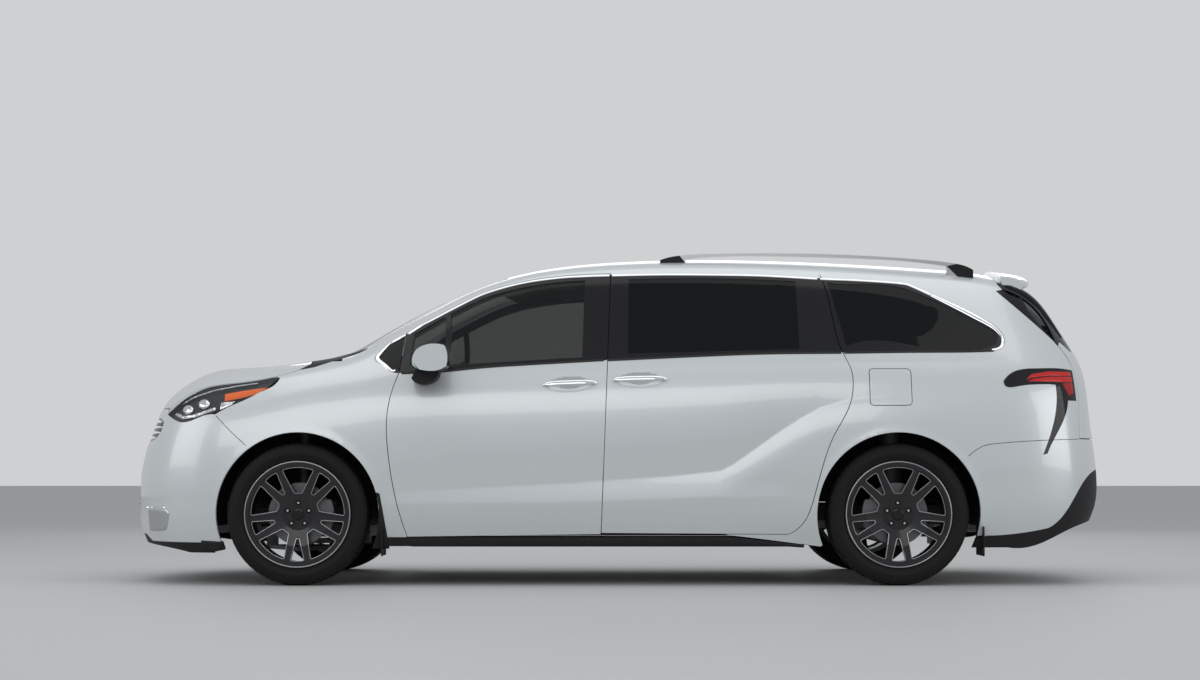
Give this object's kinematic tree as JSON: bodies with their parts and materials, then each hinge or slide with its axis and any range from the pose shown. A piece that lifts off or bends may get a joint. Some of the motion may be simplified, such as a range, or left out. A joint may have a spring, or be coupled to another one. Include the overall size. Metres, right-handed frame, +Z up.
{
  "type": "minivan",
  "caption": "Full-size minivan with hinged front doors, sliding side doors, hood, tailgate, glazed cabin with three seat rows, roof rails and steered front wheels.",
  "frame": {"origin": "on the ground under the middle of the car's box", "axes": "+X rearwards, +Y to the car's right-hand side, +Z up"},
  "size_m": [5.1624, 2.343, 1.7359],
  "materials": {
    "black_trim": "grained moulded",
    "body_paint": "pale silver metallic under clear lacquer",
    "cabin_trim": "soft grained",
    "cast_metal": "as cast",
    "clear_glass": "light green tint",
    "exhaust_steel": "dull",
    "gloss_trim": "gloss",
    "lamp_clear": "clear lens over a bright reflector",
    "lamp_red": "red lens",
    "mirror_shell": "pale silver metallic",
    "privacy_glass": "very dark tinted",
    "rail_silver": "satin",
    "rim_alloy": "dark gloss lacquer",
    "seat_fabric": "woven, with sewn channels",
    "tank_plastic": "blow moulded",
    "tyre_rubber": "matt",
    "underbody": "satin black primer"
  },
  "bodies": {
    "chassis": {"floor_pan": "underbody", "body_side_left": "body_paint", "body_side_right": "body_paint", "roof_panel": "body_paint", "windscreen": "clear_glass", "cowl": "black_trim", "side_windows": "privacy_glass", "sliding_door_left": "body_paint", "sliding_door_right": "body_paint", "front_fenders": "body_paint", "headlamps": "lamp_clear", "front_bumper": "body_paint", "front_valance": "black_trim", "grille": "gloss_trim", "rear_bumper": "body_paint", "rear_valance": "black_trim", "tail_lamps": "lamp_red", "roof_rails": "rail_silver", "wheel_liners": "black_trim", "dashboard": "cabin_trim", "steering_wheel": "cabin_trim", "front_seats": "seat_fabric", "second_row_seats": "seat_fabric", "third_row_bench": "seat_fabric", "engine_block": "cast_metal", "fuel_tank": "tank_plastic", "front_subframe": "cast_metal", "exhaust": "exhaust_steel", "rear_axle": "cast_metal", "mud_flaps": "black_trim"},
    "hood": {"hood": "body_paint"},
    "front_door_left": {"front_door_left": "body_paint", "front_door_glass_left": "clear_glass", "mirror_left": "mirror_shell"},
    "front_door_right": {"front_door_right": "body_paint", "front_door_glass_right": "clear_glass", "mirror_right": "mirror_shell"},
    "tailgate": {"tailgate": "body_paint", "tailgate_glass": "privacy_glass", "spoiler": "body_paint"},
    "fuel_door": {"fuel_door": "body_paint"},
    "knuckle_left": {"knuckle_left": "cast_metal"},
    "knuckle_right": {"knuckle_right": "cast_metal"},
    "wheel_front_left": {"tyre_front_left": "tyre_rubber", "wheel_rim_front_left": "rim_alloy"},
    "wheel_front_right": {"tyre_front_right": "tyre_rubber", "wheel_rim_front_right": "rim_alloy"},
    "wheel_rear_left": {"tyre_rear_left": "tyre_rubber", "wheel_rim_rear_left": "rim_alloy"},
    "wheel_rear_right": {"tyre_rear_right": "tyre_rubber", "wheel_rim_rear_right": "rim_alloy"}
  },
  "joints": [
    {"name": "hood_hinge", "type": "hinge", "parent": "chassis", "child": "hood", "pos_m": [-1.583, 0, 1.176], "axis": [0, 1, 0], "range_deg": [0, 50]},
    {"name": "front_door_left_hinge", "type": "hinge", "parent": "chassis", "child": "front_door_left", "pos_m": [-1.172, -0.99, 0.7], "axis": [0, 0, -1], "range_deg": [0, 68]},
    {"name": "front_door_right_hinge", "type": "hinge", "parent": "chassis", "child": "front_door_right", "pos_m": [-1.172, 0.99, 0.7], "axis": [0, 0, 1], "range_deg": [0, 68]},
    {"name": "tailgate_hinge", "type": "hinge", "parent": "chassis", "child": "tailgate", "pos_m": [2, 0, 1.674], "axis": [0, -1, 0], "range_deg": [0, 80]},
    {"name": "fuel_door_hinge", "type": "hinge", "parent": "chassis", "child": "fuel_door", "pos_m": [1.298, -0.9616, 1.013], "axis": [0, -0.2572, -0.9664], "range_deg": [0, 95]},
    {"name": "steer_left", "type": "hinge", "parent": "chassis", "child": "knuckle_left", "pos_m": [-1.622, -0.755, 0.362], "axis": [0, 0.225, 0.9744], "range_deg": [-34, 34]},
    {"name": "steer_right", "type": "hinge", "parent": "chassis", "child": "knuckle_right", "pos_m": [-1.622, 0.755, 0.362], "axis": [0, -0.225, 0.9744], "range_deg": [-34, 34]},
    {"name": "spin_front_left", "type": "hinge", "parent": "knuckle_left", "child": "wheel_front_left", "pos_m": [-1.622, -0.855, 0.362], "axis": [0, 1, 0], "continuous": true},
    {"name": "spin_front_right", "type": "hinge", "parent": "knuckle_right", "child": "wheel_front_right", "pos_m": [-1.622, 0.855, 0.362], "axis": [0, 1, 0], "continuous": true},
    {"name": "spin_rear_left", "type": "hinge", "parent": "chassis", "child": "wheel_rear_left", "pos_m": [1.439, -0.855, 0.362], "axis": [0, 1, 0], "continuous": true},
    {"name": "spin_rear_right", "type": "hinge", "parent": "chassis", "child": "wheel_rear_right", "pos_m": [1.439, 0.855, 0.362], "axis": [0, 1, 0], "continuous": true}
  ],
  "couplings": [
    {"joint": "steer_right", "follows": "steer_left", "ratio": 1}
  ]
}
